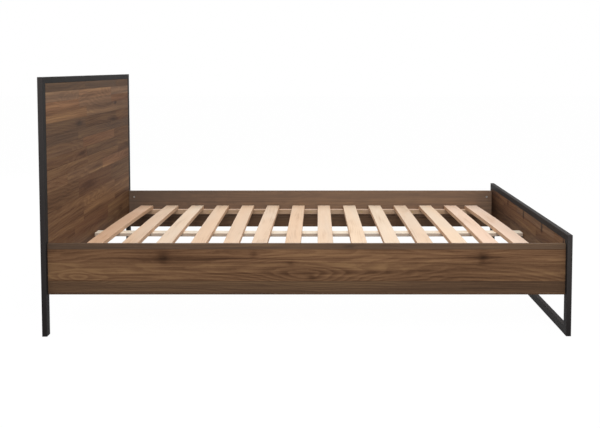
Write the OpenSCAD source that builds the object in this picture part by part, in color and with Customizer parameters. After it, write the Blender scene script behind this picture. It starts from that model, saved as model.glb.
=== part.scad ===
// Straight panel bed: black steel tube frames at the head and the foot, walnut
// panels and side rails, and a base of pale slats over a centre beam.
// +X runs from the head to the foot and +Z is up. The origin is on the floor
// under the middle of the bed. Left is the -Y side and right is the +Y side.

/* [Mattress] */
// Length of the mattress that the bed takes
mattress_l = 2000; // [1800:10:2200]
// Width of the mattress that the bed takes
mattress_w = 1500; // [900:10:1800]
// Room left on each side of the mattress
mattress_gap = 5; // [2:1:20]

/* [Steel frames] */
// Height of the head frame above the floor
head_top = 1005; // [700:1:1300]
// Height that the foot frame stands above the side rails
foot_rise = 38; // [25:1:290]
// Width of an upright tube, across the bed
post_w = 40; // [30:1:60]
// Depth of every tube, along the bed
tube_d = 20; // [20:1:40]
// Height of every cross tube but the foot's floor tube
bar_h = 25; // [20:1:40]
// Height of the floor tube, which the foot frame stands on
floor_bar_h = 33; // [20:1:40]
// Height of the lower cross tubes above the rails' lower edge
lower_bar_rise = 15; // [0:1:20]
// Wall of the tubes
tube_wall = 1.5; // [1:0.1:2.5]
// Outer corner radius of the tubes
tube_r = 2; // [1:0.5:4]
// Thickness of the plastic under the frames
glide_h = 2; // [1:0.5:6]
// Depth to which a post's plug is pushed into the tube
plug_l = 20; // [10:1:40]
// Length of a pad under the foot frame
pad_l = 60; // [20:1:120]

/* [Panels] */
// Thickness of the headboard and footboard
panel_t = 16; // [12:1:17]
// Gap between a panel and the tubes round it
panel_fit = 0.5; // [0.2:0.1:2]
// Length of a welded panel tab along its tube
tab_l = 40; // [20:1:60]
// Reach of a panel tab behind the panel
tab_reach = 25; // [15:1:40]
// Thickness of a panel tab
tab_t = 3; // [2:0.5:3]

/* [Side rails] */
// Height of a side rail
rail_h = 200; // [180:1:240]
// Thickness of a side rail
rail_t = 16; // [15:1:25]
// Space between the floor and a side rail
rail_floor_gap = 160; // [80:1:200]

/* [Slats] */
// Number of slats
slat_count = 14; // [6:1:18]
// Width of a slat
slat_w = 66; // [50:1:80]
// Thickness of a slat
slat_t = 20; // [12:1:25]
// Gap between a slat's end and the side rail
slat_end_gap = 4; // [2:0.5:8]
// Distance from the headboard to the middle of the first slat
first_slat_inset = 100; // [60:1:160]
// Distance from the footboard to the middle of the last slat
last_slat_inset = 117; // [80:1:160]
// Distance between the middles of the last two slats
last_slat_pitch = 114; // [110:1:160]
// Depth of the slat ledger's top below the rail's top
ledger_drop = 101; // [60:1:120]
// Height of a slat ledger
ledger_h = 25; // [18:1:40]
// Depth of a slat ledger, across the bed
ledger_d = 28; // [20:1:40]

/* [Centre beam] */
// Width of the centre beam
beam_w = 70; // [50:1:90]
// Thickness of the centre beam
beam_t = 16; // [12:1:25]
// Height of the beam's ends above the slat ledgers
beam_rise = 9; // [7:1:30]
// How far the beam bends down at the middle
beam_sag = 2; // [0:1:8]
// Gap between each end of the beam and the panel
beam_end_gap = 1; // [0.5:0.5:5]
// Width of the angle bracket under each end
bracket_w = 50; // [30:1:50]
// Length of each leg of the bracket
bracket_leg = 45; // [40:1:50]
// Thickness of the bracket
bracket_t = 2.5; // [2:0.5:4]

/* [Fasteners] */
// Diameter of the bolts that join rails and posts
bolt_d = 6; // [5:0.5:8]
// Length of such a bolt under its head
bolt_l = 70; // [66:1:80]
// Diameter of the bolt's flat head
bolt_head_d = 15; // [12:0.5:18]
// Thickness of the bolt's flat head
bolt_head_h = 2; // [1.5:0.5:3]
// Distance of the bolts from the rail's top and bottom edge
bolt_edge = 34; // [20:1:50]
// Diameter of a barrel nut
nut_d = 10; // [9:0.5:12]
// Length of a barrel nut
nut_l = 13; // [10:0.5:13]
// Distance from the rail's end to the barrel nut
nut_setback = 28; // [20:1:35]
// Diameter of the wood screws
screw_d = 4; // [3:0.5:5]
// Diameter of a wood screw's head
screw_head_d = 8; // [7:0.5:10]
// Length of the part of a screw that bites into the last piece
screw_bite = 11; // [8:0.5:12]
// Gap round a screw in its hole
screw_fit = 0.1; // [0.05:0.05:0.3]
// Gap round a bolt in its holes
bolt_fit = 0.5; // [0.3:0.1:1]

/* [Hidden] */
$fn = 48;
eps = 1;
// What one slat keeps off the beam under it
slat_slack = 0.3;
// How far the left end of each slat is laid towards the foot: they are put down by hand
slat_skews = [-23, -8, 3, 15, 17, -7, 0, 2, 11, 15, 18, 30, 22, 45];
// Straight pieces that make up one bend
bend_steps = 21;
// Depth of the recess in a screw's or bolt's head
recess_depth = 1.4;
hex_key_d = 4.6;
recess_wall = 1;
plug_fit = 0.2;

inner_l = mattress_l + 2 * mattress_gap;
inner_w = mattress_w + 2 * mattress_gap;
inner_x = inner_l / 2;
inner_y = inner_w / 2;
outer_x = inner_x + tube_d;
outer_y = inner_y + post_w;
tube_x = inner_x + tube_d / 2;
post_y = inner_y + post_w / 2;

rail_bottom = rail_floor_gap;
rail_top = rail_bottom + rail_h;
foot_top = rail_top + foot_rise;
lower_bar_z = rail_bottom + lower_bar_rise;
panel_bottom = lower_bar_z + bar_h;

ledger_top = rail_top - ledger_drop;
ledger_y = inner_y - ledger_d;
slat_l = inner_w - 2 * slat_end_gap;
slat_pitch = (inner_l - first_slat_inset - last_slat_inset - last_slat_pitch) / (slat_count - 2);
slat_screw_y = inner_y - ledger_d / 2;

beam_top = ledger_top + beam_rise;
beam_l = inner_l - 2 * beam_end_gap;
beam_seat_x = inner_x - bracket_leg;

bolt_y = inner_y + rail_t / 2;
bolt_heights = [rail_bottom + bolt_edge, rail_top - bolt_edge];
nut_x = inner_x - nut_setback;
screw_head_h = (screw_head_d - screw_d) / 2;
tab_x = inner_x + panel_t + tab_t / 2;
tab_screw_out = tab_reach / 2;

function slat_name(i) = str("slat_", i < 9 ? "0" : "", i + 1);

steel = "#2a2b2d";
walnut = "#6e5240";
pale_wood = "#e3c8a9";
plastic = "#1b1b1c";
zinc = "#b9b4aa";

// ---- positions and bends ----

// A flat-ended bend: 0 outside +-half, and a parabola that reaches rise between
function bend(t, half, rise) = abs(t) >= half ? 0 : rise * (1 - pow(t / half, 2));

// Places along a piece where its bend is drawn, with both ends
function bend_places(end, half) =
    concat([-end], [for (k = [0 : bend_steps]) half * (2 * k / bend_steps - 1)], [end]);

// Outline of a bent board that lies on 0, drawn along its length
function bent_board(end, half, rise, thick) = let (at = bend_places(end, half))
    concat([for (t = at) [t, bend(t, half, rise)]],
           [for (k = [len(at) - 1 : -1 : 0]) [at[k], bend(at[k], half, rise) + thick]]);

function beam_surface(x) = beam_top - bend(x, beam_seat_x, beam_sag);
function slat_x(i) = i == slat_count - 1
    ? inner_x - last_slat_inset
    : first_slat_inset - inner_x + i * slat_pitch;
function slat_skew(i) = slat_skews[min(i, len(slat_skews) - 1)];
function slat_turn(i) = asin(slat_skew(i) / slat_l);
function slat_middle_x(i) = slat_x(i) + slat_skew(i) / 2;

// A slat is bent up just enough to lie on the beam
function slat_rise(i) = slat_slack - ledger_top
    + max(beam_surface(slat_middle_x(i) - slat_w / 2), beam_surface(slat_middle_x(i) + slat_w / 2));

// Middle of slat i, and of the space after it, at the left (-1) or right (+1) ledger
function slat_end_x(i, side) = slat_x(i) + (side < 0 ? slat_skew(i) : 0);
function space_x(i, side) = (slat_end_x(i, side) + slat_end_x(i + 1, side)) / 2;

// Middles of n equal shares of a length centred on 0
function shares(n, length) = [for (k = [0 : n - 1]) length * ((k + 0.5) / n - 0.5)];

// Puts a piece drawn round the origin where slat i lies, turned about its right end
module at_slat(i) {
    translate([slat_x(i), slat_l / 2, ledger_top])
        rotate([0, 0, slat_turn(i)])
            translate([0, -slat_l / 2, 0])
                children();
}

// Draws children at the head as they are and at the foot mirrored
module at_end(end) {
    if (end == "head") children();
    else mirror([1, 0, 0]) children();
}

module at_side(side) {
    if (side > 0) children();
    else mirror([0, 1, 0]) children();
}

// Lays a YZ outline down and draws it from x = -depth / 2 to depth / 2
module across(depth) {
    rotate([90, 0, 90])
        linear_extrude(depth, center = true)
            children();
}

// ---- fasteners ----

// Countersunk wood screw, its head's flat face at 0 and its point down
module wood_screw(length, gap = 0) {
    tip = screw_d;
    translate([0, 0, -screw_head_h - gap])
        cylinder(h = screw_head_h + gap, d1 = screw_d + 2 * gap, d2 = screw_head_d + 2 * gap);
    translate([0, 0, tip - length - gap])
        cylinder(h = length - tip - screw_head_h + gap, d = screw_d + 2 * gap);
    translate([0, 0, -length - gap])
        cylinder(h = tip, d1 = screw_d / 4, d2 = screw_d + 2 * gap);
}

module cross_recess() {
    for (a = [0, 90])
        rotate([0, 0, a])
            translate([0, 0, eps / 2 - recess_depth / 2])
                cube([screw_head_d / 2, recess_wall, recess_depth + eps], center = true);
}

module countersunk_screw(length) {
    difference() {
        wood_screw(length);
        cross_recess();
    }
}

// Flat-headed wood screw: the head stands on 0 and the shank goes down
module pan_screw(length) {
    head_h = bolt_head_h;
    difference() {
        union() {
            cylinder(h = head_h, d1 = screw_head_d, d2 = screw_head_d - head_h / 2);
            translate([0, 0, screw_d - length])
                cylinder(h = length - screw_d, d = screw_d);
            translate([0, 0, -length])
                cylinder(h = screw_d, d1 = screw_d / 4, d2 = screw_d);
        }
        translate([0, 0, head_h]) cross_recess();
    }
}

module screw_hole(length) {
    translate([0, 0, -length - screw_fit])
        cylinder(h = length + screw_fit + eps, d = screw_d + 2 * screw_fit);
}

// Turns a screw that points down so that it points along +X
module point_along_x() {
    rotate([0, -90, 0]) children();
}

// Turns a screw that points down so that it points along +Y
module point_along_y() {
    rotate([90, 0, 0]) children();
}

// Children at both bolts of one corner of the bed, on the outer face of the post
module at_corner_bolts(end, side) {
    at_end(end) at_side(side)
        for (z = bolt_heights)
            translate([-outer_x, bolt_y, z])
                point_along_x()
                    children();
}

module corner_bolt() {
    difference() {
        union() {
            cylinder(h = bolt_head_h, d1 = bolt_head_d, d2 = bolt_head_d - bolt_head_h);
            translate([0, 0, -bolt_l]) cylinder(h = bolt_l, d = bolt_d);
        }
        translate([0, 0, bolt_head_h - 2 * recess_depth])
            cylinder(h = 2 * recess_depth + eps, d = hex_key_d, $fn = 6);
    }
}

module bolt_hole(from_z, to_z) {
    translate([0, 0, to_z]) cylinder(h = from_z - to_z, d = bolt_d + 2 * bolt_fit);
}

// Children on the inner face of a rail's end at each barrel nut, pointing into the rail
module at_corner_nuts(end, side) {
    at_end(end) at_side(side)
        for (z = bolt_heights)
            translate([-nut_x, inner_y, z])
                point_along_y()
                    children();
}

// Barrel nut with its cross hole and its screwdriver slot, face at 0
module barrel_nut() {
    slot_w = 1.5;
    difference() {
        translate([0, 0, -nut_l]) cylinder(h = nut_l, d = nut_d);
        translate([0, 0, -rail_t / 2])
            rotate([0, 90, 0])
                cylinder(h = 2 * nut_d, d = bolt_d + 2 * screw_fit, center = true);
        translate([0, 0, eps / 2 - recess_depth / 2])
            cube([nut_d + eps, slot_w, recess_depth + eps], center = true);
    }
}

module rail_bolts() {
    color(zinc)
        for (end = ["head", "foot"], side = [-1, 1])
            at_corner_bolts(end, side) corner_bolt();
}

module barrel_nuts() {
    color(zinc)
        for (end = ["head", "foot"], side = [-1, 1])
            at_corner_nuts(end, side) barrel_nut();
}

// ---- steel frames ----

module rounded(a, b, r) {
    square([a - 2 * r, b], center = true);
    square([a, b - 2 * r], center = true);
    for (x = [-1, 1], y = [-1, 1])
        translate([x * (a / 2 - r), y * (b / 2 - r)])
            circle(r);
}

// Section of a tube, a along its first and b along its second direction
module tube_section(a, b) {
    difference() {
        rounded(a, b, tube_r);
        rounded(a - 2 * tube_wall, b - 2 * tube_wall, max(tube_r - tube_wall, 0.3));
    }
}

// Upright tube of the right side; its ends are mitred where the flags say so
module post(bottom, top, mitre_bottom, mitre_top) {
    intersection() {
        translate([-tube_x, post_y, bottom])
            linear_extrude(top - bottom)
                tube_section(tube_d, post_w);
        translate([-tube_x, 0, 0])
            across(tube_d + 2 * eps)
                polygon([[inner_y, bottom + (mitre_bottom ? floor_bar_h : 0)], [outer_y, bottom],
                         [outer_y, top], [inner_y, top - (mitre_top ? bar_h : 0)]]);
    }
}

// Cross tube with square ends between the posts
module cross_tube(bottom) {
    translate([-tube_x, 0, bottom + bar_h / 2])
        rotate([90, 0, 0])
            linear_extrude(inner_w, center = true)
                tube_section(tube_d, bar_h);
}

// Cross tube that closes a frame, from mitre to mitre; its long side is at outer_z
module mitred_tube(outer_z, inner_z) {
    intersection() {
        translate([-tube_x, 0, (outer_z + inner_z) / 2])
            rotate([90, 0, 0])
                linear_extrude(2 * outer_y, center = true)
                    tube_section(tube_d, abs(outer_z - inner_z));
        translate([-tube_x, 0, 0])
            across(tube_d + 2 * eps)
                polygon([[-outer_y, outer_z], [outer_y, outer_z],
                         [inner_y, inner_z], [-inner_y, inner_z]]);
    }
}

module head_post(side) {
    color(steel)
        difference() {
            at_side(side) post(glide_h, head_top, false, true);
            at_corner_bolts("head", side) bolt_hole(eps, -tube_d - eps);
        }
}

module foot_post(side) {
    color(steel)
        difference() {
            at_end("foot") at_side(side) post(glide_h, foot_top, true, true);
            at_corner_bolts("foot", side) bolt_hole(eps, -tube_d - eps);
        }
}

// ---- panels and what holds them ----

// Children at each tab of a panel whose top is at top, turned so that +Z reaches behind it
module at_tabs(top) {
    middle = (panel_bottom + top) / 2;
    height = top - panel_bottom;
    uprights = height > 400 ? 2 : 1;
    for (y = shares(3, inner_w)) {
        translate([0, y, panel_bottom]) children();
        translate([0, y, top]) mirror([0, 0, 1]) children();
    }
    for (side = [-1, 1], z = shares(uprights, height))
        translate([0, side * inner_y, middle + z])
            rotate([side * 90, 0, 0])
                children();
}

module panel_tabs(top) {
    color(steel)
        at_tabs(top)
            difference() {
                translate([-tab_x, 0, tab_reach / 2])
                    cube([tab_t, tab_l, tab_reach], center = true);
                translate([-tab_x - tab_t / 2, 0, tab_screw_out])
                    point_along_x()
                        screw_hole(tab_t + eps);
            }
}

module panel_screws(top) {
    color(zinc)
        at_tabs(top)
            translate([-tab_x - tab_t / 2, 0, tab_screw_out])
                point_along_x()
                    pan_screw(tab_t + screw_bite);
}

// Board that fills a frame, flush with the frame's inner side
module panel(top) {
    color(walnut)
        difference() {
            translate([-inner_x - panel_t, -inner_y + panel_fit, panel_bottom + panel_fit])
                cube([panel_t, inner_w - 2 * panel_fit, top - panel_bottom - 2 * panel_fit]);
            at_tabs(top)
                translate([-inner_x - panel_t, 0, tab_screw_out])
                    point_along_x()
                        screw_hole(screw_bite);
            at_bracket_screws() screw_hole(screw_bite);
        }
}

// ---- floor contact ----

module head_glide(side) {
    color(plastic)
        at_side(side)
            translate([-tube_x, post_y, 0]) {
                linear_extrude(glide_h) rounded(tube_d, post_w, tube_r);
                translate([0, 0, glide_h])
                    linear_extrude(plug_l)
                        rounded(tube_d - 2 * (tube_wall + plug_fit), post_w - 2 * (tube_wall + plug_fit),
                                max(tube_r - tube_wall, 0.3));
            }
}

module foot_pad(y) {
    color(plastic)
        translate([tube_x, y, 0])
            linear_extrude(glide_h)
                rounded(tube_d - 2 * tube_r, pad_l, tube_r);
}

// ---- side rails and ledgers ----

module side_rail(side) {
    color(walnut)
        difference() {
            at_side(side)
                translate([-inner_x, inner_y, rail_bottom])
                    cube([inner_l, rail_t, rail_h]);
            for (end = ["head", "foot"]) {
                at_corner_bolts(end, side) bolt_hole(-tube_d + eps, -bolt_l - eps);
                at_corner_nuts(end, side)
                    translate([0, 0, -nut_l - screw_fit])
                        cylinder(h = nut_l + screw_fit + eps, d = nut_d + 2 * screw_fit);
            }
            at_ledger_screws(side)
                translate([0, 0, -ledger_d])
                    screw_hole(screw_bite);
        }
}

// Children at each screw of one ledger, on its inner face, pointing into the rail
module at_ledger_screws(side) {
    for (i = [0 : 2 : slat_count - 2])
        translate([space_x(i, side), side * ledger_y, ledger_top - ledger_h / 2])
            rotate([side * 90, 0, 0])
                children();
}

// A ledger reaches from the outer edge of the first slat to that of the last
module slat_ledger(side) {
    start_x = slat_end_x(0, side) - slat_w / 2;
    end_x = slat_end_x(slat_count - 1, side) + slat_w / 2;
    color(pale_wood)
        difference() {
            at_side(side)
                translate([start_x, ledger_y, ledger_top - ledger_h])
                    cube([end_x - start_x, ledger_d, ledger_h]);
            at_ledger_screws(side) {
                wood_screw(ledger_d + 2 * screw_d, screw_fit);
                screw_hole(ledger_d + eps);
            }
            for (i = [0 : slat_count - 1])
                at_slat_screw(i, side)
                    translate([0, 0, -slat_t])
                        screw_hole(screw_bite);
        }
}

module ledger_screws() {
    color(zinc)
        for (side = [-1, 1])
            at_ledger_screws(side) countersunk_screw(ledger_d + screw_bite);
}

// ---- slats ----

module slat(i) {
    color(pale_wood)
        difference() {
            at_slat(i)
                across(slat_w)
                    polygon(bent_board(slat_l / 2, ledger_y, slat_rise(i), slat_t));
            for (side = [-1, 1])
                at_slat_screw(i, side) {
                    wood_screw(slat_t + 2 * screw_d, screw_fit);
                    cylinder(h = eps, d = screw_head_d + 2 * screw_fit);
                }
        }
}

// Children on top of slat i at the screw of one end
module at_slat_screw(i, side) {
    at_slat(i)
        translate([0, side * slat_screw_y, slat_t])
            children();
}

module slat_screws() {
    color(zinc)
        for (i = [0 : slat_count - 1], side = [-1, 1])
            at_slat_screw(i, side) countersunk_screw(slat_t + screw_bite);
}

// ---- centre beam ----

module centre_beam() {
    color(pale_wood)
        difference() {
            translate([0, 0, beam_top - beam_t])
                rotate([90, 0, 0])
                    linear_extrude(beam_w, center = true)
                        polygon(bent_board(beam_l / 2, beam_seat_x, -beam_sag, beam_t));
            for (end = ["head", "foot"])
                at_end(end) at_beam_screws() screw_hole(screw_bite);
        }
}

// Children at the screws that come up through a bracket, at the beam's underside
module at_beam_screws() {
    for (y = shares(2, bracket_w))
        translate([-inner_x + bracket_leg * 0.6, y, beam_top - beam_t])
            mirror([0, 0, 1])
                children();
}

// Children at the screws that hold a bracket to its panel, on the panel's face
module at_bracket_screws() {
    for (y = shares(2, bracket_w))
        translate([-inner_x, y, beam_top - beam_t - bracket_leg * 0.6])
            rotate([0, 90, 0])
                children();
}

module beam_bracket(end) {
    corner = [-inner_x, beam_top - beam_t];
    color(steel)
        at_end(end)
            difference() {
                translate(corner[0] * [1, 0, 0] + corner[1] * [0, 0, 1])
                    rotate([90, 0, 0])
                        linear_extrude(bracket_w, center = true)
                            polygon([[0, 0], [bracket_leg, 0], [bracket_leg, -bracket_t],
                                     [bracket_t, -bracket_t], [bracket_t, -bracket_leg],
                                     [0, -bracket_leg]]);
                at_beam_screws() translate([0, 0, bracket_t]) screw_hole(bracket_t + eps);
                at_bracket_screws() translate([0, 0, bracket_t]) screw_hole(bracket_t + eps);
            }
}

module beam_bracket_screws() {
    color(zinc)
        for (end = ["head", "foot"])
            at_end(end) {
                at_beam_screws() translate([0, 0, bracket_t]) pan_screw(bracket_t + screw_bite);
                at_bracket_screws() translate([0, 0, bracket_t]) pan_screw(bracket_t + screw_bite);
            }
}

// ---- the nodes ----

head_post(-1);  // head_post_left
head_post(1);  // head_post_right
color(steel) mitred_tube(head_top, head_top - bar_h);  // head_top_tube
color(steel) cross_tube(lower_bar_z);  // head_lower_tube
panel_tabs(head_top - bar_h);  // head_panel_tabs
panel(head_top - bar_h);  // headboard_panel
panel_screws(head_top - bar_h);  // head_panel_screws
head_glide(-1);  // head_glide_left
head_glide(1);  // head_glide_right
foot_post(-1);  // foot_post_left
foot_post(1);  // foot_post_right
color(steel) at_end("foot") mitred_tube(foot_top, foot_top - bar_h);  // foot_top_tube
color(steel) at_end("foot") cross_tube(lower_bar_z);  // foot_lower_tube
color(steel) at_end("foot") mitred_tube(glide_h, glide_h + floor_bar_h);  // foot_floor_tube
at_end("foot") panel_tabs(foot_top - bar_h);  // foot_panel_tabs
at_end("foot") panel(foot_top - bar_h);  // footboard_panel
at_end("foot") panel_screws(foot_top - bar_h);  // foot_panel_screws
foot_pad(-inner_y);  // foot_pad_left
foot_pad(0);  // foot_pad_middle
foot_pad(inner_y);  // foot_pad_right
side_rail(-1);  // side_rail_left
side_rail(1);  // side_rail_right
slat_ledger(-1);  // slat_ledger_left
slat_ledger(1);  // slat_ledger_right
ledger_screws();
for (i = [0 : slat_count - 1])
    slat(i);
slat_screws();
centre_beam();
beam_bracket("head");  // beam_bracket_head
beam_bracket("foot");  // beam_bracket_foot
beam_bracket_screws();
rail_bolts();
barrel_nuts();
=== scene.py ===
"""The looks of a straight panel bed: black steel tube frames at the head and the foot,
walnut panels and side rails, and a base of pale slats over a centre beam.

Lengths are in metres. +X runs from the head to the foot, +Z is up, and the origin is on
the floor under the middle of the bed. Left is the -Y side and right is the +Y side.
"""

import math

import bmesh
import bpy
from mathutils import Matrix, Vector


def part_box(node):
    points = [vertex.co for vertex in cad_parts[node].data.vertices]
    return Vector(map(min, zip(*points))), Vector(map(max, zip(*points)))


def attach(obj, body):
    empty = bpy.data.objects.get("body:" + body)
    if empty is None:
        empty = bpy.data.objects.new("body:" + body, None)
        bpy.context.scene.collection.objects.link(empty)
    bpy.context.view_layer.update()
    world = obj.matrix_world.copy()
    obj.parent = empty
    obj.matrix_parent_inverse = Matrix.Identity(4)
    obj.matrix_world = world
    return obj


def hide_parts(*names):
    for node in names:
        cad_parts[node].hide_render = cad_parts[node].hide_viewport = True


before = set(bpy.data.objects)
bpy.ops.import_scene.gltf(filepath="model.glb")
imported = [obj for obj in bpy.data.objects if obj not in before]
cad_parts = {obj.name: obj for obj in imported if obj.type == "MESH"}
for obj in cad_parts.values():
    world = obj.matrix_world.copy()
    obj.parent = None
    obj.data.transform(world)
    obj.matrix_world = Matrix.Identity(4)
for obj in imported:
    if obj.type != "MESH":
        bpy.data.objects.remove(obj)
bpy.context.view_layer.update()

ENDS = ("head", "foot")
SIDES = {"left": -1, "right": 1}
SLATS = [f"slat_{number:02d}" for number in range(1, 15)]

# ---- sizes of the finish, which the construction doesn't hold ----

TUBE_WALL = 0.0015
TUBE_CORNER = 0.002
TUBE_SOCKET = 0.024  # how far up the foot of a head post is hollow
SEAM = 0.0004  # how much the edges of a mitre are eased
WELD_LEG = 0.0035
WELD_SIDES = 12
WELD_RIPPLES = 16
WELD_NECK = 0.86  # how thin a weld is between two ripples

BOARD_EASE = 0.0010
SLAT_EASE = 0.0022
BATTEN_EASE = 0.0015
BEAM_EASE = 0.0018
FOOT_EASE = 0.0009
FINE_STEPS = 2
EASE_STEPS = 3
CORNER_STEPS = 4

NUT_HOLE = 0.0102
NUT_HOLE_EXTRA = 0.0005  # how much deeper than its nut a hole is
NUT_HOLE_SIDES = 28
SCREW_HOLE = 0.0043
SCREW_SINK = 0.0083
SCREW_HOLE_SIDES = 24
CUTTER_START = 0.002  # how far outside a face a cutter starts
PLUG_GAP = 0.0002  # between a foot's plug and the wall of its tube
PLUG_START = 0.001  # how far up in its flange the plug begins

STATIONS = 44  # lengths between the rings of a piece that bends
SMOOTH_ANGLE = math.radians(32)
IN_PLANE = 1e-5
SAME_POINT = 1e-6

# ---- colours ----


def srgb(text):
    """A colour written as six hex digits, as the shader wants it."""
    shares = [int(text[i : i + 2], 16) / 255 for i in (0, 2, 4)]
    return tuple(c / 12.92 if c <= 0.04045 else ((c + 0.055) / 1.055) ** 2.4 for c in shares)


WALNUT_STOPS = [
    (0.00, srgb("2c1e15")),
    (0.30, srgb("4e3727")),
    (0.52, srgb("6b4f39")),
    (0.76, srgb("856748")),
    (1.00, srgb("a8895c")),
]
GREY_WALNUT = srgb("5c5249")
RED_WALNUT = srgb("714a38")

RED_SLAT = srgb("dab698")
HONEY_SLAT = srgb("e1c4a8")
SAND_SLAT = srgb("e2c9b0")
CREAM_SLAT = srgb("e7cfb5")
ROSY_SLAT = srgb("eaceb8")
SLAT_FACES = [
    RED_SLAT, HONEY_SLAT, CREAM_SLAT, HONEY_SLAT, HONEY_SLAT, SAND_SLAT, HONEY_SLAT,
    SAND_SLAT, CREAM_SLAT, CREAM_SLAT, SAND_SLAT, CREAM_SLAT, ROSY_SLAT, ROSY_SLAT,
]
# The edge colours are darker partly as sawn wood and partly as painted shade on the sides
SLAT_SAWN_SHADED_EDGE = srgb("cfa988")
LEDGER_FACE = srgb("e2c8b2")
LEDGER_SAWN_SHADED_EDGE = srgb("b69a80")
BEAM_FACE = srgb("eadfcd")
BEAM_SAWN_SHADED_EDGE = srgb("c2b09f")

# What the pale woods' own colours are multiplied by in dark, light, warm and cool places
DARK_WOOD = (0.74, 0.65, 0.56)
LIGHT_WOOD = (1.07, 1.10, 1.14)
WARM_WOOD = (1.02, 0.99, 0.96)
COOL_WOOD = (0.99, 1.003, 1.02)

DARK_COAT = srgb("2b2828")
GREY_COAT = srgb("33302f")
COAT_SPECK = srgb("3c3a38")
COAT_MOTTLE = srgb("3d3a39")
COAT_SCUFF = srgb("4a4644")
DARK_PLASTIC = srgb("1d1d1e")
SCUFFED_PLASTIC = srgb("2c2b2a")
ZINC = (srgb("b5b9bd"), srgb("c9c9c6"), srgb("cdc5b0"))
YELLOW_ZINC = (srgb("a58a58"), srgb("b39b6b"), srgb("a89a86"))

# ---- the figure of the walnut ----

# Rows of staves, from the lowest up: height of the lower edge, tone, share of grey
HEAD_ROWS = [
    (0.000, 0.94, 0.05), (0.268, 1.04, 0.00), (0.360, 1.20, 0.00), (0.4725, 0.95, 0.00),
    (0.554, 1.30, 0.00), (0.600, 1.03, 0.00), (0.640, 0.96, 0.00), (0.685, 1.18, 0.00),
    (0.730, 0.91, 0.10), (0.770, 0.88, 0.14), (0.822, 1.25, 0.12), (0.869, 1.68, 0.18),
    # The last row, under the top tube, is painted darker and greyer: painted shade of the tube
    # over the row's own tone
    (0.905, 1.78, 0.22), (0.945, 0.95, 0.36),
]
FOOT_ROWS = [(0.000, 0.94, 0.00), (0.288, 0.94, 0.00), (0.345, 1.16, 0.14)]
LEFT_ROWS = [(0.000, 0.77, 0.24), (0.213, 1.16, 0.00), (0.286, 1.40, 0.00), (0.338, 0.98, 0.36)]
RIGHT_ROWS = [(0.000, 1.30, 0.50), (0.213, 1.63, 0.68), (0.300, 1.76, 0.74)]

# Eyes that the growth rings close round: place along the grain, height, half length and
# half height
HEAD_EYES = [
    (-0.440, 0.906, 0.140, 0.030), (0.410, 0.922, 0.110, 0.024), (0.100, 0.410, 0.160, 0.030),
]
LEFT_EYES = [
    (-0.885, 0.222, 0.190, 0.036), (0.000, 0.232, 0.380, 0.055), (1.180, 0.232, 0.380, 0.055),
]

# Knots, streaks and painted shade: place along the grain, height, half length, half height
# and depth, which is below 0 for a light streak
HEAD_MARKS = [
    (0.445, 0.860, 0.022, 0.010, 0.40), (-0.270, 0.797, 0.050, 0.014, 0.28),
    (0.400, 0.785, 0.090, 0.012, 0.28), (-0.110, 0.510, 0.110, 0.016, 0.24),
    (-0.220, 0.662, 0.060, 0.012, 0.22), (0.120, 0.560, 0.240, 0.004, -0.30),
    (0.540, 0.300, 0.060, 0.020, 0.20),
]
FOOT_MARKS_AND_SHADE = [
    (-0.739, 0.356, 0.012, 0.014, 0.75), (-0.383, 0.356, 0.012, 0.018, 0.80),
    (-0.033, 0.356, 0.012, 0.018, 0.80), (0.319, 0.360, 0.012, 0.012, 0.50),
    # The mark at 0.760 is partly the walnut's own darkness and partly painted shade in the far
    # corner
    (0.400, 0.300, 0.300, 0.050, 0.22), (0.760, 0.330, 0.190, 0.250, 0.46),
]
LEFT_MARKS = [
    (-0.556, 0.303, 0.024, 0.026, 0.22), (-0.556, 0.302, 0.085, 0.014, 0.18),
    (0.684, 0.303, 0.024, 0.026, 0.22), (0.684, 0.302, 0.085, 0.014, 0.18),
    (0.020, 0.228, 0.018, 0.010, 0.24), (0.165, 0.350, 0.020, 0.007, 0.20),
    (-0.205, 0.318, 0.014, 0.014, 0.16), (-0.061, 0.283, 0.018, 0.010, 0.18),
    (0.250, 0.246, 0.260, 0.040, -0.13), (-0.800, 0.352, 0.300, 0.020, 0.14),
    (0.850, 0.185, 0.300, 0.030, -0.10),
]
# Painted shadow of the headboard over the far rail's head end
RIGHT_RAIL_PAINTED_SHADOW = [(-1.000, 0.320, 0.420, 0.400, 0.34)]

HEAD_STAVE = 0.62
FOOT_STAVE = 0.705
ONE_STAVE = 60.0  # so long that a rail shows no end joint
ROW_LINE = (0.0003, 0.0009)  # how far the line between two rows is full, and where it ends
END_LINE = (0.00028, 0.00112)  # the same for the line between two staves of a row

# ---- camera, light and setting ----

CAMERA_PLACE = (0.0491, -4.2723, 1.0400)
CAMERA_TILT = math.radians(3.8)
CAMERA_LENS = 54.79
CAMERA_SHIFT = (-0.0321, -0.1425)
CAMERA_SENSOR = 36.0
CAMERA_CLIP = 0.05

# Name, place, the point that it shines at, width, height and watts
LAMPS = [
    ("lamp_above", (0.2, -0.3, 3.4), (0.0, 0.0, 0.3), 3.6, 2.8, 44),
    ("lamp_front", (0.2, -4.0, 2.9), (0.0, 0.0, 0.4), 3.2, 2.0, 100),
    ("lamp_foot_end", (4.2, -1.2, 2.6), (-0.6, 0.0, 0.5), 2.4, 1.8, 20),
    ("lamp_back", (-2.8, 3.8, 2.4), (0.0, 0.0, 0.4), 3.0, 2.0, 50),
]
WORLD_LEVEL = 0.50
FLOOR_SIZE = 60
FLOOR_GREY = 0.45
FLOOR_WHITE_SHARE = 0.93
FLOOR_WHITE_LEVEL = 1.05
WHITE = (1, 1, 1, 1)


def make_camera():
    data = bpy.data.cameras.new("camera")
    data.sensor_width = CAMERA_SENSOR
    data.lens = CAMERA_LENS
    data.shift_x, data.shift_y = CAMERA_SHIFT
    data.clip_start = CAMERA_CLIP
    camera = bpy.data.objects.new("camera", data)
    camera.location = CAMERA_PLACE
    camera.rotation_euler = (math.pi / 2 - CAMERA_TILT, 0, 0)
    bpy.context.scene.collection.objects.link(camera)
    bpy.context.scene.camera = camera


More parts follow.
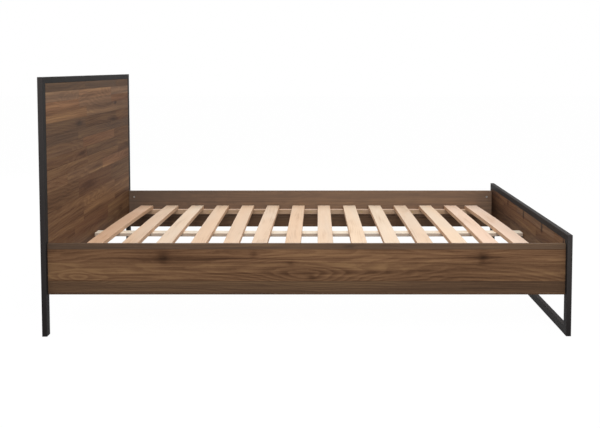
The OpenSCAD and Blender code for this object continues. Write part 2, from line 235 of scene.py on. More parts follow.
def make_lamps():
    """Rectangular soft lamps, each turned to the point that it shines at."""
    for name, place, aim, width, height, watts in LAMPS:
        data = bpy.data.lights.new(name, "AREA")
        data.shape = "RECTANGLE"
        data.size = width
        data.size_y = height
        data.energy = watts
        lamp = bpy.data.objects.new(name, data)
        lamp.location = place
        lamp.rotation_mode = "QUATERNION"
        lamp.rotation_quaternion = (Vector(aim) - Vector(place)).to_track_quat("-Z", "Y")
        bpy.context.scene.collection.objects.link(lamp)


# ---- finishes: shader sums written as plain expressions ----


class Value:
    """What one socket gives. Sums of values add the Math nodes they need."""

    def __init__(self, tree, socket):
        self.tree = tree
        self.socket = socket

    def __add__(self, other):
        return self.tree.sum("ADD", self, other)

    def __radd__(self, other):
        return self.tree.sum("ADD", other, self)

    def __sub__(self, other):
        return self.tree.sum("SUBTRACT", self, other)

    def __rsub__(self, other):
        return self.tree.sum("SUBTRACT", other, self)

    def __mul__(self, other):
        return self.tree.sum("MULTIPLY", self, other)

    def __rmul__(self, other):
        return self.tree.sum("MULTIPLY", other, self)

    def __truediv__(self, other):
        return self.tree.sum("DIVIDE", self, other)

    def __gt__(self, other):
        return self.tree.sum("GREATER_THAN", self, other)


class Tree:
    """The nodes of a material or of the world, and short ways to add to them."""

    def __init__(self, owner):
        owner.use_nodes = True
        self.nodes = owner.node_tree.nodes
        self.links = owner.node_tree.links

    def node(self, kind, settings=None, inputs=None, output=0):
        """Adds a node, sets it up, feeds its sockets and gives one of its outputs."""
        made = self.nodes.new("ShaderNode" + kind)
        for name, value in (settings or {}).items():
            if name == "stops":
                ramp = made.color_ramp
                while len(ramp.elements) < len(value):
                    ramp.elements.new(1.0)
                for element, (place, colour) in zip(ramp.elements, value):
                    element.position = place
                    element.color = (*colour, 1.0)
            else:
                setattr(made, name, value)
        for socket, value in (inputs or {}).items():
            self.feed(made.inputs[socket], value)
        return Value(self, made.outputs[output])

    def feed(self, socket, value):
        if isinstance(value, Value):
            self.links.new(value.socket, socket)
        else:
            socket.default_value = value

    def sum(self, operation, first, second=0.0):
        return self.node("Math", {"operation": operation}, {0: first, 1: second})

    def show_white(self, shader, share, level):
        """Mixes white over a shader where the camera, a reflection or glass looks at it."""
        seen = self.node("LightPath", output="Is Camera Ray")
        for ray in ("Is Glossy Ray", "Is Transmission Ray"):
            seen = self.sum("MAXIMUM", seen, self.node("LightPath", output=ray))
        kind = "Background" if shader.type == "BACKGROUND" else "Emission"
        white = self.node(kind, None, {"Color": WHITE, "Strength": level})
        own = Value(self, shader.outputs[0])
        mixed = self.node("MixShader", None, {0: seen * share, 1: own, 2: white})
        out = next(n for n in self.nodes if n.type in ("OUTPUT_MATERIAL", "OUTPUT_WORLD"))
        self.feed(out.inputs["Surface"], mixed)


class Finish(Tree):
    """A material with a Principled shader, whose fixed sockets are named with underscores."""

    def __init__(self, name, **fixed):
        self.material = bpy.data.materials.new(name)
        super().__init__(self.material)
        self.shader = self.nodes["Principled BSDF"]
        for socket, value in fixed.items():
            self.shader.inputs[socket.replace("_", " ")].default_value = value

    def between(self, value, low, high):
        """0 below low, 1 above high and a smooth step from one to the other."""
        return self.node(
            "MapRange",
            {"interpolation_type": "SMOOTHSTEP"},
            {"Value": value, "From Min": low, "From Max": high},
        )

    def here(self):
        """The point itself, in Object coordinates."""
        return self.node("TexCoord", output="Object")

    def parts(self, vector):
        """The X, Y and Z of a vector, or the three channels of a colour."""
        return [self.node("SeparateXYZ", None, {0: vector}, axis) for axis in "XYZ"]

    def facing(self, axis):
        """How squarely a face looks along an axis, either way: from 0 to 1."""
        normal = self.node("TexCoord", output="Normal")
        return self.sum("ABSOLUTE", self.node("SeparateXYZ", None, {0: normal}, axis))

    def spot(self, along, across=0.0, through=0.0):
        return self.node("CombineXYZ", None, {0: along, 1: across, 2: through})

    def noise(self, spot, scale=1.0, detail=2.0, rough=0.5, warp=0.0):
        """Smooth noise around 0.5."""
        inputs = {"Vector": spot, "Scale": scale, "Detail": detail, "Roughness": rough}
        return self.node("TexNoise", None, {**inputs, "Distortion": warp})

    def near(self, off_along, reach_along, off_height, reach_height):
        """1 at a point, and less and less away from it: a soft oval."""
        along = off_along / reach_along
        height = off_height / reach_height
        return self.sum("EXPONENT", (along * along + height * height) * -1.0)

    def chance(self, spot):
        """Three random numbers, the same all over each whole-numbered spot."""
        settings = {"noise_dimensions": "3D"}
        return self.parts(self.node("TexWhiteNoise", settings, {"Vector": spot}, "Color"))

    def blend(self, share, first, second, how="MIX"):
        """Mixes two colours, which are inputs 6 and 7 and output 2 of the node."""
        settings = {"data_type": "RGBA", "blend_type": how, "clamp_factor": True}
        inputs = {0: share, 6: self.colour(first), 7: self.colour(second)}
        return self.node("Mix", settings, inputs, 2)

    def colour(self, value):
        return value if isinstance(value, Value) else (*value, 1.0)

    def times(self, colour, level):
        """A colour made darker or lighter by a number."""
        return self.node("VectorMath", {"operation": "SCALE"}, {0: colour, "Scale": level})

    def ramp(self, value, stops):
        return self.node("ValToRGB", {"stops": stops}, {0: value})

    def bump(self, height, strength, distance):
        inputs = {"Height": height, "Strength": strength, "Distance": distance}
        return self.node("Bump", None, inputs)

    def finish(self, colour, roughness, normal):
        """Feeds what varies over the surface to the shader."""
        self.feed(self.shader.inputs["Base Color"], colour)
        self.feed(self.shader.inputs["Roughness"], roughness)
        self.feed(self.shader.inputs["Normal"], normal)
        return self.material


# ---- walnut ----


def row_looks(height, rows):
    """The number, tone and share of grey of the row that a point is in."""
    row, tone, grey = 0.0, rows[0][1], rows[0][2]
    for (_, tone_below, grey_below), (edge, tone_above, grey_above) in zip(rows, rows[1:]):
        above = height > edge
        row = row + above
        tone = tone + above * (tone_above - tone_below)
        grey = grey + above * (grey_above - grey_below)
    return row, tone, grey


def eye_swirl(wood, along, level, eyes):
    """A hump over each eye, drawn out to both sides along the grain."""
    swirl = 0.0
    for eye_along, eye_height, half_length, half_height in eyes:
        off_along = (along - eye_along) / half_length
        off_height = (level - eye_height) / half_height
        drawn_out = wood.sum("SQRT", off_along * off_along + 0.06) * 1.5
        swirl = swirl + wood.sum("EXPONENT", (drawn_out + off_height * off_height) * -1.0)
    return swirl


def joint_lines(wood, height, rows, staves_in, stave_length):
    """1 in the fine lines between the rows and between the staves of a row, else 0."""
    joint = wood.sum("FRACT", staves_in)
    full, end = (reach / stave_length for reach in END_LINE)
    line = 1 - wood.between(wood.sum("MINIMUM", joint, 1 - joint), full, end)
    for edge, _, _ in rows[1:]:
        gap = wood.sum("ABSOLUTE", height - edge)
        line = wood.sum("MAXIMUM", line, 1 - wood.between(gap, *ROW_LINE))
    return line


def walnut(name, grain_axis, rows, stave_length, seed, eyes=(), marks_and_shade=()):
    """Lacquered walnut laid in rows of staves, with the grain along one axis."""
    wood = Finish(name, Specular_IOR_Level=0.03)
    x, y, height = wood.parts(wood.here())
    along, through = (x, y) if grain_axis == "X" else (y, x)

    row, tone, grey = row_looks(height, rows)
    row_pick = wood.chance(wood.spot(row, seed, 0.5))[0]
    staves_in = along / stave_length + row_pick * 7.0 + seed
    stave = wood.sum("FLOOR", staves_in)
    pick, tone_pick, hue_pick = wood.chance(wood.spot(row, stave, seed + 0.5))

    # The grain wanders a little up and down on its way
    drift = wood.noise(wood.spot(along * 1.9 + pick * 3.0, seed)) - 0.5
    level = height + drift * 0.016
    wander = wood.noise(wood.spot(along * 34.0, height * 60.0, through * 34.0)) - 0.5

    # Growth rings are the contour lines of slow noise that is drawn out along the grain
    rise_spot = wood.spot(along * 1.2 + pick * 31.0, level * 8.0 + pick * 17.0, through * 9.0)
    swirl = eye_swirl(wood, along, level, eyes)
    rise = wood.noise(rise_spot, 1.0, 2.5, 0.42, 0.3) + swirl * 0.62
    climb = (level + through) * (30.0 + tone_pick * 70.0)
    rings = wood.sum("FRACT", rise * 14.0 + climb + wander * 0.5)
    late = wood.between(rings, 0.0, 0.72) * (1 - wood.between(rings, 0.76, 1.0))

    # Fibres, streaks and broad bands, and the pores in the fibres
    fibre_spot = wood.spot(along * 5.0 + pick * 11.0, level * 250.0, through * 250.0)
    fibre = wood.noise(fibre_spot, 1.0, 3.0, 0.6)
    streak_spot = wood.spot(along * 1.1 + pick * 5.0, level * 52.0, through * 52.0)
    streak = wood.noise(streak_spot, 1.0, 3.0, 0.6)
    band = wood.noise(wood.spot(along * 0.9 + pick * 9.0, level * 15.0, through * 4.0))
    pore_spot = wood.spot(along * 45.0, height * 1150.0, through * 1150.0)
    pores = wood.between(wood.noise(pore_spot, 1.0, 1.0), 0.60, 0.72)

    shade = (
        0.50
        + (0.45 - late) * (0.10 + swirl * 0.07)
        + (fibre - 0.5) * 0.42
        + (streak - 0.5) * 0.68
        + (band - 0.5) * 0.62
        - pores * 0.10
    )
    # Knots and streaks, and painted shade where a mark stands for it
    for mark_along, mark_height, half_length, half_height, depth in marks_and_shade:
        off = along - mark_along + wander * half_length * 1.3
        shade = shade - wood.near(off, half_length, level - mark_height, half_height) * depth

    line = joint_lines(wood, height, rows, staves_in, stave_length)
    colour = wood.ramp(shade, WALNUT_STOPS)
    colour = wood.blend((0.40 - hue_pick) * 0.55, colour, RED_WALNUT)
    colour = wood.blend(grey + (hue_pick - 0.6) * 0.4, colour, GREY_WALNUT)
    colour = wood.times(colour, tone * (0.92 + tone_pick * 0.16) * (1 - line * 0.35))
    roughness = 0.58 + (fibre - 0.5) * 0.16 + pores * 0.10
    normal = wood.bump(fibre * 0.6 - pores * 0.5 - line * 0.8, 0.22, 0.0005)
    return wood.finish(colour, roughness, normal)


# ---- pale woods ----


def pale_wood(name, grain_axis, face, edge, seed, contrast, middle=(0, 0, 0), turn=0.0):
    """Planed pale wood: straight faint rings and fine fibre along one axis.

    face is the colour of the broad faces and edge that of the narrow ones, darker partly
    as sawn wood and partly as painted shade. The pattern is centred on middle and turned
    about Z with the piece.
    """
    wood = Finish(name, Specular_IOR_Level=0.15)
    inputs = {"Vector": wood.here(), "Location": tuple(middle), "Rotation": (0, 0, turn)}
    x, y, height = wood.parts(wood.node("Mapping", {"vector_type": "TEXTURE"}, inputs))
    along, across = (x, y) if grain_axis == "X" else (y, x)

    ring_spot = wood.spot(along * 0.8 + seed * 3.1, across * 13.0 + seed, height * 13.0)
    rise = wood.noise(ring_spot, 1.0, 2.0, 0.4, 0.2)
    rings = wood.sum("FRACT", rise * 9.0 + across * 85.0)
    late = wood.between(rings, 0.25, 0.88) * (1 - wood.between(rings, 0.90, 1.0))
    fibre_spot = wood.spot(along * 6.0 + seed, across * 300.0, height * 300.0)
    fibre = wood.noise(fibre_spot, 1.0, 3.0, 0.6)
    cloud_spot = wood.spot(along * 3.0 + seed * 2.3, across * 22.0, height * 22.0)
    cloud = wood.noise(cloud_spot, 1.0, 3.0)
    fleck_spot = wood.spot(along * 26.0 + seed, across * 420.0, height * 420.0)
    flecks = wood.between(wood.noise(fleck_spot, 1.0, 1.0), 0.62, 0.74)
    tint = wood.noise(wood.spot(along * 1.6 + seed * 4.7, across * 14.0, height * 14.0))

    shade = (
        0.56
        + (0.4 - late) * 0.16 * contrast
        + (fibre - 0.5) * 0.28 * contrast
        + (cloud - 0.5) * 1.30 * contrast
        - flecks * 0.12 * contrast
    )
    # Narrow faces get the darker edge colour: partly sawn wood, partly painted shade
    base = wood.blend(wood.facing("Z"), edge, face)
    dark = wood.blend(1.0, base, DARK_WOOD, "MULTIPLY")
    light = wood.blend(1.0, base, LIGHT_WOOD, "MULTIPLY")
    colour = wood.blend(wood.between(shade, 0.0, 0.56), dark, base)
    colour = wood.blend(wood.between(shade, 0.56, 1.1), colour, light)
    cast = wood.blend(wood.between(tint, 0.36, 0.64), WARM_WOOD, COOL_WOOD)
    colour = wood.blend(1.0, colour, cast, "MULTIPLY")
    roughness = 0.62 + (fibre - 0.5) * 0.15
    normal = wood.bump(fibre - flecks * 0.4, 0.25, 0.0004)
    return wood.finish(colour, roughness, normal)


def slat_wood(number, middle, turn):
    """Each slat's own wood: a face colour from the list, and grain that no other has."""
    name, face = f"slat_wood_{number + 1:02d}", SLAT_FACES[number]
    return pale_wood(name, "Y", face, SLAT_SAWN_SHADED_EDGE, 3.7 * number, 0.95, middle, turn)


# ---- steel and plastic ----


def black_steel(name, top=0.0):
    """Satin black powder coat: fine orange peel, mottle and scuffs, and a cloudy sheen.

    With a top, light and shade are painted: faces that look left or right go from dark at
    the floor to a lighter, greyer black at that height, and faces that look up are lighter.
    """
    coat = Finish(name, Specular_IOR_Level=0.03)
    spot = coat.here()
    peel = coat.noise(spot, 620.0)
    speck = coat.noise(spot, 1500.0, 1.0)
    cloud = coat.noise(spot, 7.0, 3.0)
    mottle = coat.noise(spot, 260.0, 3.0, 0.6)
    scuff = coat.noise(spot, 24.0, 4.0, 0.7)
    colour = coat.blend(cloud, DARK_COAT, GREY_COAT)
    colour = coat.blend(coat.between(speck, 0.66, 0.8) * 0.4, colour, COAT_SPECK)
    colour = coat.blend((mottle - 0.42) * 0.9, colour, COAT_MOTTLE)
    colour = coat.blend(coat.between(scuff, 0.66, 0.76) * 0.35, colour, COAT_SCUFF)
    if top:
        # Painted light and shade: faces that look to the head or foot are painted darker, faces
        # that look up lighter, and faces that look left or right lighter with height
        facing_x, facing_y, facing_z = [coat.facing(axis) for axis in "XYZ"]
        painted_light_rise = coat.parts(spot)[2] / top
        tone = facing_x * 0.68 + facing_y * (0.68 + painted_light_rise * 0.98) + facing_z * 1.36
        colour = coat.times(colour, tone)
    roughness = 0.56 + (cloud - 0.5) * 0.14 + (peel - 0.5) * 0.12
    normal = coat.bump(peel + mottle * 0.6 + speck * 0.3, 0.16, 0.0004)
    return coat.finish(colour, roughness, normal)


def black_plastic():
    """Moulded black plastic with a fine matt grain."""
    mould = Finish("black_plastic", Specular_IOR_Level=0.4)
    spot = mould.here()
    grain = mould.noise(spot, 1900.0)
    scuff = mould.noise(spot, 60.0, 3.0)
    colour = mould.blend(mould.between(scuff, 0.55, 0.8), DARK_PLASTIC, SCUFFED_PLASTIC)
    roughness = 0.6 + (scuff - 0.5) * 0.2
    return mould.finish(colour, roughness, mould.bump(grain, 0.3, 0.0003))


def zinc_plate(name, colours):
    """Zinc-plated steel: dull, with faint patches of three colours."""
    plate = Finish(name, Metallic=1.0)
    spot = plate.here()
    patch = plate.noise(spot, 210.0)
    fine = plate.noise(spot, 1600.0)
    colour = plate.ramp(patch, list(zip((0.3, 0.5, 0.72), colours)))
    roughness = 0.34 + (patch - 0.5) * 0.2 + (fine - 0.5) * 0.15
    return plate.finish(colour, roughness, plate.bump(fine, 0.15, 0.0002))


# ---- ways of making a piece ----


def only(piece):
    """Selects one piece and no other."""
    bpy.ops.object.select_all(action="DESELECT")
    piece.select_set(True)
    bpy.context.view_layer.objects.active = piece


def settle(piece):
    """Puts a piece's place, turn and size into its mesh."""
    only(piece)
    bpy.ops.object.transform_apply(location=True, rotation=True, scale=True)


def block(name, low, high):
    """A square-edged length of stock between two corners."""
    low, high = Vector(low), Vector(high)
    bpy.ops.object.select_all(action="DESELECT")
    bpy.ops.mesh.primitive_cube_add(size=1, location=(low + high) / 2)
    piece = bpy.context.active_object
    piece.name = piece.data.name = name
    piece.scale = high - low
    settle(piece)
    return piece


def edit(piece):
    """Opens a piece for shaping, with nothing chosen."""
    only(piece)
    bpy.ops.object.mode_set(mode="EDIT")
    bpy.ops.mesh.select_all(action="DESELECT")


def done():
    bpy.ops.object.mode_set(mode="OBJECT")


def choose(piece, kind, wanted):
    """Chooses the vertices, edges or faces that wanted accepts."""
    bpy.ops.mesh.select_mode(type={"verts": "VERT", "edges": "EDGE", "faces": "FACE"}[kind])
    mesh = bmesh.from_edit_mesh(piece.data)
    for element in getattr(mesh, kind):
        element.select_set(bool(wanted(element)))
    mesh.select_flush_mode()
    bmesh.update_edit_mesh(piece.data)


def every(_):
    return True


def runs_along(axis):
    """Accepts an edge that runs along one axis."""
    number = "XYZ".index(axis)

    def wanted(edge):
        way = edge.verts[1].co - edge.verts[0].co
        return abs(way[number]) > 0.999 * way.length

    return wanted


def on_plane(point, outward):
    """Accepts an edge or a face that lies in a plane."""
    point, outward = Vector(point), Vector(outward).normalized()
    return lambda part: all(abs((v.co - point).dot(outward)) < IN_PLANE for v in part.verts)


def ease(piece, wanted, size, steps):
    """Rounds the edges that wanted accepts."""
    edit(piece)
    choose(piece, "edges", wanted)
    bpy.ops.mesh.bevel(offset=size, segments=steps, affect="EDGES")
    done()


def cut_away(piece, point, outward):
    """Saws off what lies beyond a plane and closes the cut."""
    edit(piece)
    bpy.ops.mesh.select_all(action="SELECT")
    outward = Vector(outward).normalized()
    bpy.ops.mesh.bisect(plane_co=point, plane_no=outward, use_fill=True, clear_outer=True)
    done()


def modify(piece, kind, **settings):
    """Adds a modifier and applies it."""
    only(piece)
    bpy.ops.object.modifier_add(type=kind)
    modifier = piece.modifiers[-1]
    for name, value in settings.items():
        setattr(modifier, name, value)
    bpy.ops.object.modifier_apply(modifier=modifier.name)


def smooth(piece):
    """Smooth round edges and true flats."""
    only(piece)
    bpy.ops.object.shade_smooth_by_angle(angle=SMOOTH_ANGLE)
    modify(piece, "WEIGHTED_NORMAL", keep_sharp=True, weight=80)


def copy_of(piece, name):
    """A copy with a mesh of its own."""
    only(piece)
    bpy.ops.object.duplicate(linked=False)
    made = bpy.context.active_object
    made.name = made.data.name = name
    return made


def join(pieces):
    """Makes one piece of several, named after the first."""
    only(pieces[0])
    for piece in pieces:
        piece.select_set(True)
    bpy.ops.object.join()
    return bpy.context.active_object


def scrap(piece):
    bpy.data.objects.remove(piece)


def cutter(place, direction, depth, wide, narrow, sides):
    """A round cutter that starts outside place, wide, and goes in by depth, narrow."""
    direction = Vector(direction)
    length = depth + CUTTER_START
    bpy.ops.object.select_all(action="DESELECT")
    bpy.ops.mesh.primitive_cone_add(vertices=sides, radius1=wide, radius2=narrow, depth=length)
    made = bpy.context.active_object
    made.rotation_mode = "QUATERNION"
    made.rotation_quaternion = direction.to_track_quat("Z", "Y")
    made.location = Vector(place) + direction * (depth - CUTTER_START) / 2
    settle(made)
    return made


def drill(piece, cutters):
    """Cuts the cutters out of a piece."""
    joined = join(cutters)
    modify(piece, "BOOLEAN", operation="DIFFERENCE", solver="EXACT", object=joined)
    scrap(joined)


def sink(place, direction):
    """The cutter for a countersunk screw whose head is flush at place."""
    depth = (SCREW_SINK - SCREW_HOLE) / 2
    wide = SCREW_SINK / 2 + CUTTER_START
    return cutter(place, direction, depth, wide, SCREW_HOLE / 2, SCREW_HOLE_SIDES)


def box_round(corners):
    """The low and the high corner of the box round some points."""
    return [Vector(pick(c[i] for c in corners) for i in range(3)) for pick in (min, max)]


def loose_boxes(node):
    """The box round each loose solid of a node, such as each nut of a group."""
    mesh = bmesh.new()
    mesh.from_mesh(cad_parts[node].data)
    bmesh.ops.remove_doubles(mesh, verts=mesh.verts, dist=SAME_POINT)
    left, boxes = set(mesh.verts), []
    while left:
        heap, corners = [left.pop()], []
        while heap:
            vertex = heap.pop()
            corners.append(vertex.co.copy())
            linked = {edge.other_vert(vertex) for edge in vertex.link_edges} & left
            left -= linked
            heap.extend(linked)
        boxes.append(box_round(corners))
    mesh.free()
    return sorted(boxes, key=lambda box: tuple(round(c, 4) for c in (box[0] + box[1])))


def end_box(node, axis, side):
    """The box round a node's corners at one of its ends."""
    corners = [v.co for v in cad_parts[node].data.vertices]
    reach = max(c[axis] * side for c in corners) - SLAT_EASE
    return box_round([c for c in corners if c[axis] * side > reach])


def finished(piece, material, slot, *nodes):
    """Gives a finished piece its material, puts it under the root body and hides the nodes that
    it stands for.
    """
    piece.data.materials.clear()
    piece.data.materials.append(material)
    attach(piece, "root")
    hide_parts(*nodes)


# ---- steel frames ----


def square_tube(node, axis, mitres=()):
    """A steel tube where a node is, mitred by planes (point, outward)."""
    tube = block(f"{node}_coated", *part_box(node))
    ease(tube, runs_along(axis), TUBE_CORNER, CORNER_STEPS)
    for point, outward in mitres:
        cut_away(tube, point, outward)
        ease(tube, on_plane(point, outward), SEAM, FINE_STEPS)
    return tube


def open_foot(post, level):
    """Hollows the lower end of a post, as deep as its plug goes."""
    edit(post)
    choose(post, "faces", on_plane((0, 0, level), (0, 0, 1)))
    bpy.ops.mesh.inset(thickness=TUBE_WALL)
    bpy.ops.mesh.extrude_region_move(TRANSFORM_OT_translate={"value": (0, 0, TUBE_SOCKET)})
    done()


def mitre_at(side, post, cross_tube, top):
    """The plane between a post and a cross tube at its top or its bottom.

    It is given by a point and by the way from the post to the tube.
    """
    post_low, post_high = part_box(post)
    tube_low, tube_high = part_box(cross_tube)
    outside, inside = (post_low.y, post_high.y) if side < 0 else (post_high.y, post_low.y)
    corner, nook = (tube_high.z, tube_low.z) if top else (tube_low.z, tube_high.z)
    to_tube = Vector((0, corner - nook, inside - outside))
    if (to_tube.z > 0) != top:
        to_tube = -to_tube
    return Vector((post_low.x, outside, corner)), to_tube


def weld_bead(name, place, length):
    """A short rippled fillet of weld along X."""
    bpy.ops.object.select_all(action="DESELECT")
    bpy.ops.mesh.primitive_cylinder_add(
        vertices=WELD_SIDES,
        radius=WELD_LEG,
        depth=length,
        location=place,
        rotation=(0, math.pi / 2, 0),
    )
    bead = bpy.context.active_object
    bead.name = bead.data.name = name
    settle(bead)
    edit(bead)
    choose(bead, "edges", runs_along("X"))
    bpy.ops.mesh.subdivide(number_cuts=WELD_RIPPLES - 1)
    for ring in range(0, WELD_RIPPLES + 1, 2):
        at = place.x + length * (ring / WELD_RIPPLES - 0.5)
        choose(bead, "verts", lambda v: abs(v.co.x - at) < IN_PLANE)
        bpy.ops.transform.resize(value=(1, WELD_NECK, WELD_NECK), center_override=place)
    done()
    smooth(bead)
    return bead


def make_lower_tube(end, steel):
    """The tube under a panel, welded into the corners of the two posts."""
    node = f"{end}_lower_tube"
    low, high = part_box(node)
    length = high.x - low.x - 2 * TUBE_CORNER
    pieces = [square_tube(node, "Y")]
    smooth(pieces[0])
    for number, side in enumerate(SIDES.values()):
        place = Vector(((low.x + high.x) / 2, side * high.y, low.z))
        pieces.append(weld_bead(f"bead_{number}", place, length))
    finished(join(pieces), steel, "black_steel", node)


def make_frame(end, steel):
    """One steel frame: two posts, a top tube, a lower tube and, at the foot, a floor tube."""
    crossings = [(f"{end}_top_tube", True)]
    if end == "foot":
        crossings.append(("foot_floor_tube", False))
    for side_name, side in SIDES.items():
        post = f"{end}_post_{side_name}"
        piece = square_tube(post, "Z", [mitre_at(side, post, *cross) for cross in crossings])
        if end == "head":
            open_foot(piece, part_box(post)[0].z)
        smooth(piece)
        finished(piece, steel, "black_steel", post)
    for tube, top in crossings:
        cuts = [mitre_at(side, f"{end}_post_{name}", tube, top) for name, side in SIDES.items()]
        piece = square_tube(tube, "Y", [(point, -to_tube) for point, to_tube in cuts])
        smooth(piece)
        finished(piece, steel, "black_steel", tube)
    make_lower_tube(end, steel)


# ---- walnut boards ----


def make_panel(end, wood):
    node = f"{end}board_panel"
    piece = block(f"{end}board_staves", *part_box(node))
    ease(piece, every, BOARD_EASE, FINE_STEPS)
    smooth(piece)
    finished(piece, wood, "walnut", node)


def make_rail(side_name, wood):
    """A side rail, with a hole in its inner face for each barrel nut."""
    side = SIDES[side_name]
    node = f"side_rail_{side_name}"
    low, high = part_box(node)
    piece = block(f"{node}_staves", low, high)
    ease(piece, every, BOARD_EASE, FINE_STEPS)
    face = side * min(abs(low.y), abs(high.y))
    radius = NUT_HOLE / 2
    holes = []
    for nut_low, nut_high in loose_boxes("barrel_nuts"):
        x, y, z = (nut_low + nut_high) / 2
        depth = nut_high.y - nut_low.y + NUT_HOLE_EXTRA
        if y * side > 0:
            way = (0, side, 0)
            holes.append(cutter((x, face, z), way, depth, radius, radius, NUT_HOLE_SIDES))
    drill(piece, holes)
    smooth(piece)
    finished(piece, wood, "walnut", node)


# ---- slatted base ----


def make_ledger(side_name, wood):
    """The batten that carries the slats' ends, with its screw holes."""
    side = SIDES[side_name]
    node = f"slat_ledger_{side_name}"
    low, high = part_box(node)
    piece = block(f"{node}_planed", low, high)
    ease(piece, every, BATTEN_EASE, EASE_STEPS)
    face = side * min(abs(low.y), abs(high.y))
    screws = [(a + b) / 2 for a, b in loose_boxes("ledger_screws")]
    drill(piece, [sink((s.x, face, s.z), (0, side, 0)) for s in screws if s.y * side > 0])
    smooth(piece)
    finished(piece, wood, "batten_wood", node)


def cut_stations(piece, axis, length):
    """Cuts rings across a piece that lies along an axis, so that it can bend."""
    way = Vector((0, 0, 0))
    way[axis] = 1
    edit(piece)
    for k in range(1, STATIONS):
        bpy.ops.mesh.select_all(action="SELECT")
        bpy.ops.mesh.bisect(plane_co=way * length * (k / STATIONS - 0.5), plane_no=way)
    done()


def bow(piece, axis, reach, rise):
    """Bends a piece up in a smooth arc between its seats, which are reach from its middle."""
    edit(piece)
    choose(piece, "verts", lambda v: abs(v.co[axis]) < IN_PLANE)
    bpy.ops.transform.translate(
        value=(0, 0, rise),
        use_proportional_edit=True,
        proportional_edit_falloff="INVERSE_SQUARE",
        proportional_size=reach,
    )
    done()


def make_slats():
    """One flat slat is planed and drilled, then each copy is bowed and laid in its place."""
    low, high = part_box("slat_08")
    width, length = high.x - low.x, high.y - low.y
    end_low, end_high = end_box("slat_08", 1, 1)
    thick = end_high.z - end_low.z
    master = block("slat", (-width / 2, -length / 2, 0), (width / 2, length / 2, thick))
    ease(master, every, SLAT_EASE, EASE_STEPS)
    cut_stations(master, 1, length)
    screw_y = max(b.y for _, b in loose_boxes("slat_screws")) - SCREW_SINK / 2
    drill(master, [sink((0, side * screw_y, thick), (0, 0, -1)) for side in SIDES.values()])
    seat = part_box("slat_ledger_right")[0].y
    for number, node in enumerate(SLATS):
        low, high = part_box(node)
        left, right = (sum(end_box(node, 1, side), Vector()) / 2 for side in SIDES.values())
        turn = math.atan2(left.x - right.x, right.y - left.y)
        middle = Vector(((low.x + high.x) / 2, (low.y + high.y) / 2, low.z))
        piece = copy_of(master, f"{node}_planed")
        bow(piece, 1, seat, high.z - low.z - thick)
        smooth(piece)
        piece.rotation_euler = (0, 0, turn)
        piece.location = middle
        settle(piece)
        finished(piece, slat_wood(number, middle, turn), "slat_wood", node)
    scrap(master)


def make_beam(wood):
    """The flat beam under the slats' middles, which sags a little between its brackets."""
    low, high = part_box("centre_beam")
    end_low, end_high = end_box("centre_beam", 0, 1)
    thick = end_high.z - end_low.z
    half_length, half_width = (high.x - low.x) / 2, (high.y - low.y) / 2
    corner = Vector((half_length, half_width, 0))
    piece = block("centre_beam_planed", -corner, corner + Vector((0, 0, thick)))
    ease(piece, every, BEAM_EASE, EASE_STEPS)
    cut_stations(piece, 0, 2 * half_length)
    bow(piece, 0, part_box("beam_bracket_foot")[0].x, thick - (high.z - low.z))
    smooth(piece)
    piece.location = (0, 0, end_low.z)
    settle(piece)
    finished(piece, wood, "batten_wood", "centre_beam")


# ---- feet and fittings ----


def moulded(name, low, high):
    """A square plastic foot with round corners and an eased sole."""
    piece = block(name, low, high)
    ease(piece, runs_along("Z"), TUBE_CORNER, CORNER_STEPS)
    ease(piece, on_plane(low, (0, 0, 1)), FOOT_EASE, EASE_STEPS)
    return piece


def make_glide(side_name, plastic):
    """The foot of a head post: a flange under the tube, and a plug that goes up into it."""
    node = f"head_glide_{side_name}"
    low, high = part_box(node)
    post_low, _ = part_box(f"head_post_{side_name}")
    inset = TUBE_WALL + PLUG_GAP
    plug_low = low + Vector((inset, inset, PLUG_START))
    plug = block("plug", plug_low, high - Vector((inset, inset, 0)))
    ease(plug, every, FOOT_EASE / 2, FINE_STEPS)
    smooth(plug)
    flange = moulded(f"{node}_moulded", low, (high.x, high.y, post_low.z))
    smooth(flange)
    finished(join([flange, plug]), plastic, "black_plastic", node)


def make_pad(name, plastic):
    """A pad under the foot frame."""
    node = f"foot_pad_{name}"
    piece = moulded(f"{node}_moulded", *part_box(node))
    smooth(piece)
    finished(piece, plastic, "black_plastic", node)


def paint(material, *nodes):
    """Gives a material to nodes that are carried over as they are."""
    for node in nodes:
        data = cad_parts[node].data
        data.materials.clear()
        data.materials.append(material)


# ---- setting ----


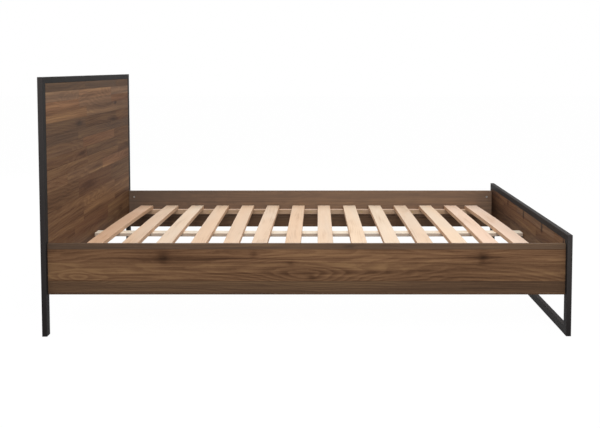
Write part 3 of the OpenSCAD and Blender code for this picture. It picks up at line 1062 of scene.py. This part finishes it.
def make_setting():
    """A white studio, and a floor that keeps the bed's shadow."""
    world = bpy.data.worlds.new("studio")
    bpy.context.scene.world = world
    studio = Tree(world)
    sky = studio.nodes["Background"]
    sky.inputs["Color"].default_value = WHITE
    sky.inputs["Strength"].default_value = WORLD_LEVEL
    studio.show_white(sky, 1.0, 1.0)

    bpy.ops.object.select_all(action="DESELECT")
    bpy.ops.mesh.primitive_plane_add(size=FLOOR_SIZE, location=(0, 0, 0))
    floor = bpy.context.active_object
    floor.name = "floor"
    grey = (FLOOR_GREY, FLOOR_GREY, FLOOR_GREY, 1)
    paper = Finish("floor_paper", Base_Color=grey, Roughness=0.9, Specular_IOR_Level=0.1)
    paper.show_white(paper.shader, FLOOR_WHITE_SHARE, FLOOR_WHITE_LEVEL)
    floor.data.materials.append(paper.material)


# ---- the bed ----

make_camera()
make_lamps()
make_setting()

steel = black_steel("black_steel")
plastic = black_plastic()
zinc = zinc_plate("zinc_plate", ZINC)
yellow_zinc = zinc_plate("yellow_zinc", YELLOW_ZINC)

for end in ENDS:
    make_frame(end, black_steel(f"{end}_frame_steel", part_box(f"{end}_top_tube")[1].z))
head_wood = walnut("headboard_walnut", "Y", HEAD_ROWS, HEAD_STAVE, 3.0, HEAD_EYES, HEAD_MARKS)
foot_wood = walnut("footboard_walnut", "Y", FOOT_ROWS, FOOT_STAVE, 11.0, (), FOOT_MARKS_AND_SHADE)
make_panel("head", head_wood)
make_panel("foot", foot_wood)
left_wood = walnut("left_rail_walnut", "X", LEFT_ROWS, ONE_STAVE, 5.0, LEFT_EYES, LEFT_MARKS)
right_wood = walnut("right_rail_walnut", "X", RIGHT_ROWS, ONE_STAVE, 8.0, (), RIGHT_RAIL_PAINTED_SHADOW)
make_rail("left", left_wood)
make_rail("right", right_wood)
for side_name in SIDES:
    batten_name = f"{side_name}_ledger_wood"
    make_ledger(side_name, pale_wood(batten_name, "X", LEDGER_FACE, LEDGER_SAWN_SHADED_EDGE, 2.1, 1.5))
make_slats()
make_beam(pale_wood("beam_wood", "X", BEAM_FACE, BEAM_SAWN_SHADED_EDGE, 5.5, 1.3))
for side_name in SIDES:
    make_glide(side_name, plastic)
for pad_name in ("left", "middle", "right"):
    make_pad(pad_name, plastic)
paint(steel, "head_panel_tabs", "foot_panel_tabs", "beam_bracket_head", "beam_bracket_foot")
paint(zinc, "head_panel_screws", "foot_panel_screws", "rail_bolts", "barrel_nuts")
paint(yellow_zinc, "ledger_screws", "slat_screws", "beam_bracket_screws")

view = bpy.context.scene.view_settings
view.view_transform = "Standard"
